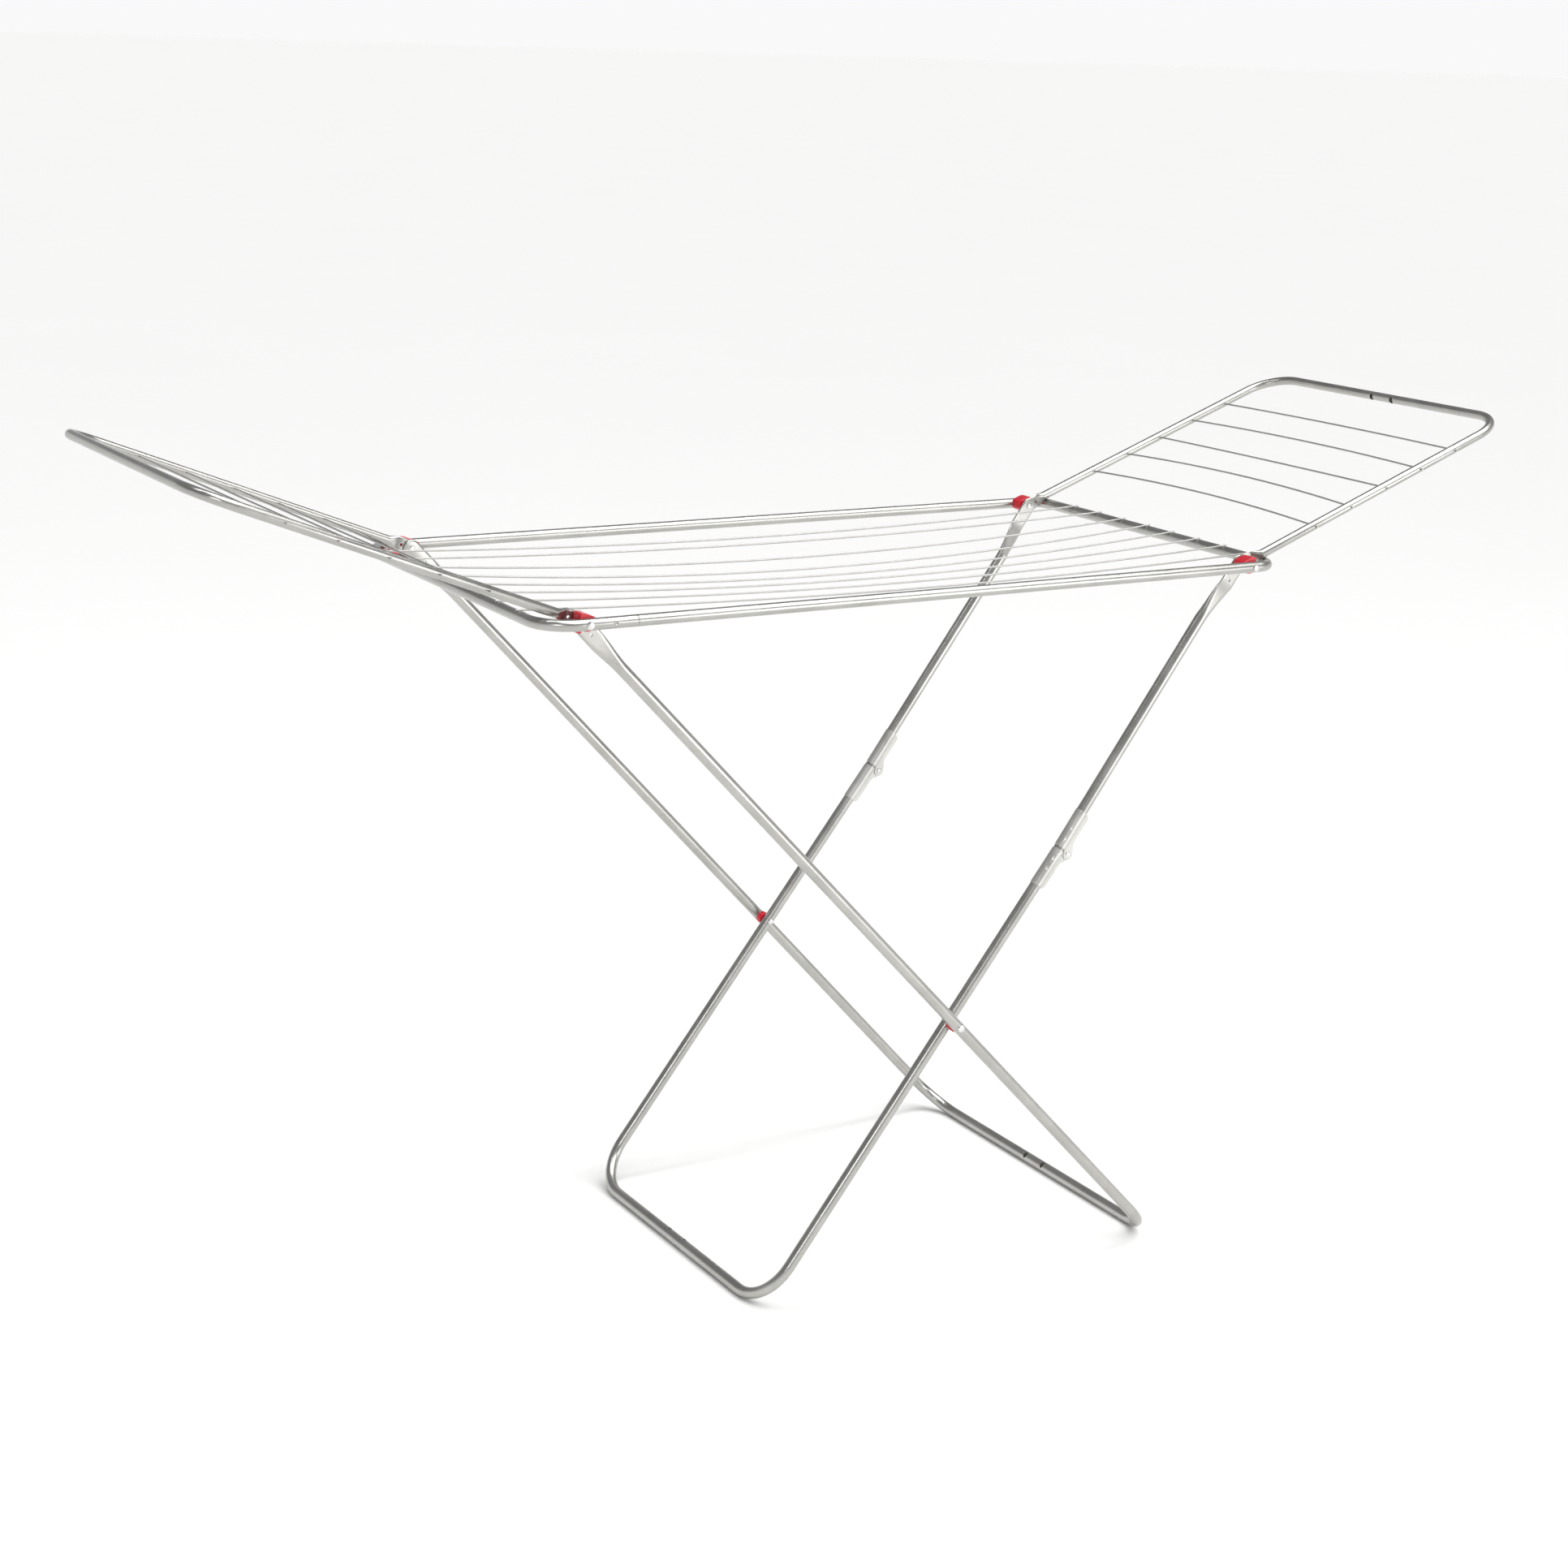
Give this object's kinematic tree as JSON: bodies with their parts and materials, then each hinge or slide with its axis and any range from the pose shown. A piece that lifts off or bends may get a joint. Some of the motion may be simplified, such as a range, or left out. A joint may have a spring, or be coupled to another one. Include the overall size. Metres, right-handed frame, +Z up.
{
  "type": "clothes drying rack",
  "caption": "Free-standing winged clothes drying rack on crossed folding tube legs, with wires across a main frame and two fold-over wings.",
  "frame": {"origin": "on the floor, under the middle between the four corner pivots", "axes": "+X along the rack's length towards the end whose legs have the knee, +Y across it to the rear, +Z up"},
  "size_m": [1.858, 0.5332, 1.0877],
  "materials": {
    "frame_tube_paint": "silver-grey metallic powder coat, satin",
    "wing_tube_paint": "silver-grey metallic powder coat, satin",
    "leg_tube_paint": "silver-grey metallic powder coat, satin",
    "drying_wire": "thin grey coated steel wire",
    "bracket_sheet": "pressed sheet steel, pale grey coat",
    "rivet_steel": "bright zinc-plated steel",
    "spacer_plastic": "glossy red moulded plastic"
  },
  "bodies": {
    "main_frame": {"main_frame_tube": "frame_tube_paint", "frame_wire_1": "drying_wire", "frame_wire_2": "drying_wire", "frame_wire_3": "drying_wire", "frame_wire_4": "drying_wire", "frame_wire_5": "drying_wire", "frame_wire_6": "drying_wire", "frame_wire_7": "drying_wire", "frame_wire_8": "drying_wire", "corner_spacer_left_front": "spacer_plastic", "corner_spacer_left_rear": "spacer_plastic", "corner_spacer_right_front": "spacer_plastic", "corner_spacer_right_rear": "spacer_plastic", "corner_rivets_left": "rivet_steel", "corner_rivets_right": "rivet_steel"},
    "wing_left": {"wing_tube_left": "wing_tube_paint", "wing_wire_left_1": "drying_wire", "wing_wire_left_2": "drying_wire", "wing_wire_left_3": "drying_wire", "wing_wire_left_4": "drying_wire", "wing_wire_left_5": "drying_wire"},
    "wing_right": {"wing_tube_right": "wing_tube_paint", "wing_wire_right_1": "drying_wire", "wing_wire_right_2": "drying_wire", "wing_wire_right_3": "drying_wire", "wing_wire_right_4": "drying_wire", "wing_wire_right_5": "drying_wire"},
    "outer_legs": {"outer_leg_frame": "leg_tube_paint", "cross_rivets": "rivet_steel", "cross_spacer_front": "spacer_plastic", "cross_spacer_rear": "spacer_plastic"},
    "inner_upper_legs": {"inner_upper_leg_front": "leg_tube_paint", "inner_upper_leg_rear": "leg_tube_paint", "knee_bracket_upper_front": "bracket_sheet", "knee_bracket_upper_rear": "bracket_sheet", "knee_rivets": "rivet_steel"},
    "inner_lower_legs": {"inner_lower_leg_frame": "leg_tube_paint", "knee_bracket_lower_front": "bracket_sheet", "knee_bracket_lower_rear": "bracket_sheet", "cross_rivet_tails": "rivet_steel"}
  },
  "joints": [
    {"name": "leg_fold", "type": "hinge", "parent": "main_frame", "child": "outer_legs", "pos_m": [-0.479, 0, 0.913], "axis": [0, -1, 0], "range_deg": [0, 43.5]},
    {"name": "inner_upper_fold", "type": "hinge", "parent": "main_frame", "child": "inner_upper_legs", "pos_m": [0.479, 0, 0.913], "axis": [0, 1, 0], "range_deg": [0, 55.2]},
    {"name": "knee_fold", "type": "hinge", "parent": "inner_upper_legs", "child": "inner_lower_legs", "pos_m": [0.23651, 0, 0.54779], "axis": [0, -1, 0], "range_deg": [0, 180.4]},
    {"name": "wing_left_fold", "type": "hinge", "parent": "main_frame", "child": "wing_left", "pos_m": [-0.479, 0, 0.913], "axis": [0, 1, 0], "range_deg": [0, 152]},
    {"name": "wing_right_fold", "type": "hinge", "parent": "main_frame", "child": "wing_right", "pos_m": [0.479, 0, 0.913], "axis": [0, -1, 0], "range_deg": [0, 152]}
  ],
  "couplings": [
    {"joint": "inner_upper_fold", "follows": "leg_fold", "ratio": 1.2667},
    {"joint": "knee_fold", "follows": "leg_fold", "ratio": 4.1437}
  ]
}
